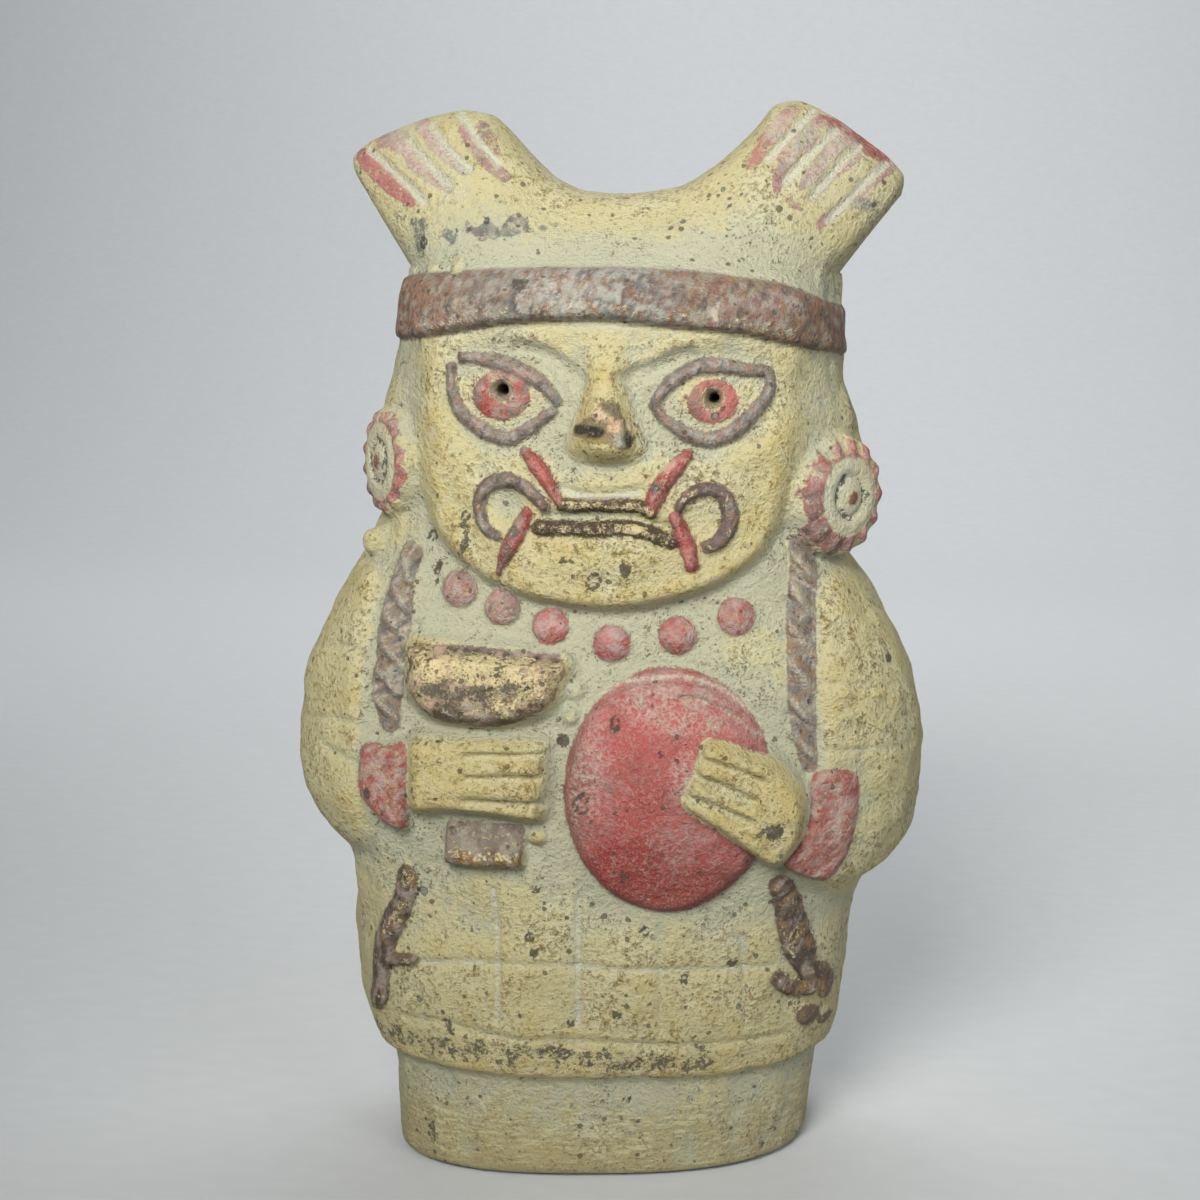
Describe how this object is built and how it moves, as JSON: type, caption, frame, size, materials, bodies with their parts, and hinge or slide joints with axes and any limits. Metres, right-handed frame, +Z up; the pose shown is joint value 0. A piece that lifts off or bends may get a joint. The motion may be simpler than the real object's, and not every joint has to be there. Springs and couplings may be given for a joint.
{
  "type": "ceramic rattle",
  "caption": "Hollow fired clay rattle in the form of a standing fanged figure with a fan crest, ear discs, bead collar, cup and round shield.",
  "frame": {"origin": "middle of the flat underside of the foot", "axes": "+Z up, -Y the way the figure faces, +X to the right of someone who looks at its front"},
  "size_m": [0.09, 0.055, 0.151],
  "materials": {
    "painted_clay": "matt buff fired clay with worn red and brown slip paint"
  },
  "bodies": {
    "root": {"clay_rattle": "painted_clay"}
  },
  "joints": []
}
